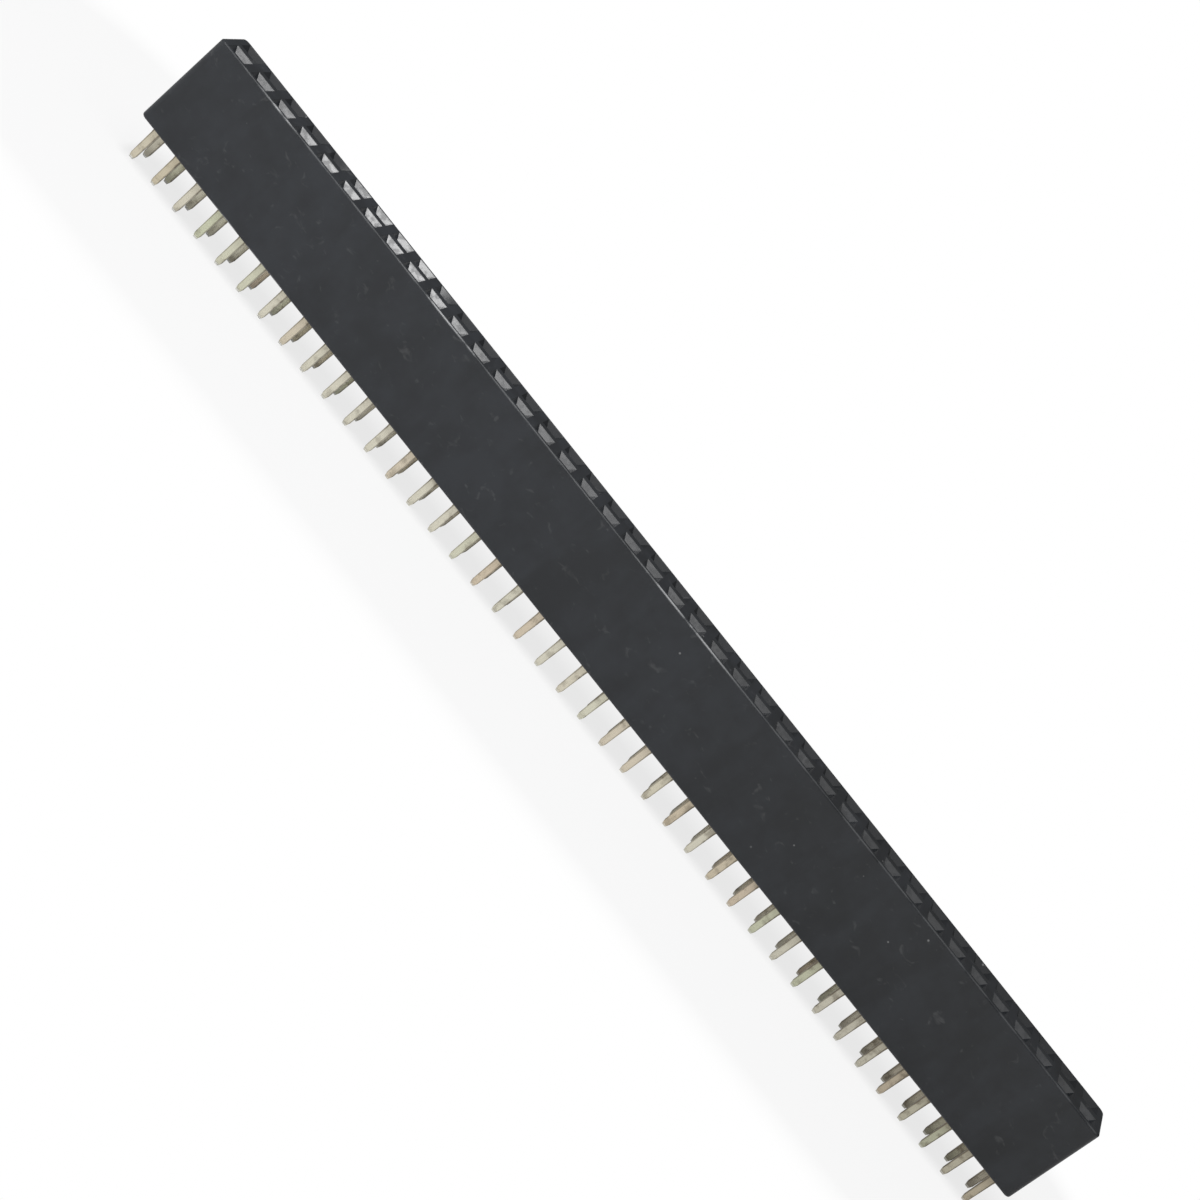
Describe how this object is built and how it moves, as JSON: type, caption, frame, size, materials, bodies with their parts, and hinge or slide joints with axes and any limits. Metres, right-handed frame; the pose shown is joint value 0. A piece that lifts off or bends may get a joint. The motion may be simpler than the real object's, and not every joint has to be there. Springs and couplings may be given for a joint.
{
  "type": "pin header",
  "caption": "Double-row female pin header: straight black housing with square lead-in sockets on a 2.54 mm grid, and flat solder tails in line below.",
  "frame": {"origin": "middle of the seating plane, which is the housing's underside; the tails reach below it", "axes": "+X along the length, +Y across the two rows, +Z from the board towards the mating face"},
  "size_m": [0.1022, 0.005, 0.0117],
  "materials": {
    "housing": "satin moulded thermoplastic, black",
    "contacts": "stamped copper alloy with a thin pale gold-over-nickel plating"
  },
  "bodies": {
    "root": {"housing": "housing", "contact_pair_01": "contacts", "contact_pair_02": "contacts", "contact_pair_03": "contacts", "contact_pair_04": "contacts", "contact_pair_05": "contacts", "contact_pair_06": "contacts", "contact_pair_07": "contacts", "contact_pair_08": "contacts", "contact_pair_09": "contacts", "contact_pair_10": "contacts", "contact_pair_11": "contacts", "contact_pair_12": "contacts", "contact_pair_13": "contacts", "contact_pair_14": "contacts", "contact_pair_15": "contacts", "contact_pair_16": "contacts", "contact_pair_17": "contacts", "contact_pair_18": "contacts", "contact_pair_19": "contacts", "contact_pair_20": "contacts", "contact_pair_21": "contacts", "contact_pair_22": "contacts", "contact_pair_23": "contacts", "contact_pair_24": "contacts", "contact_pair_25": "contacts", "contact_pair_26": "contacts", "contact_pair_27": "contacts", "contact_pair_28": "contacts", "contact_pair_29": "contacts", "contact_pair_30": "contacts", "contact_pair_31": "contacts", "contact_pair_32": "contacts", "contact_pair_33": "contacts", "contact_pair_34": "contacts", "contact_pair_35": "contacts", "contact_pair_36": "contacts", "contact_pair_37": "contacts", "contact_pair_38": "contacts", "contact_pair_39": "contacts", "contact_pair_40": "contacts"}
  },
  "joints": []
}
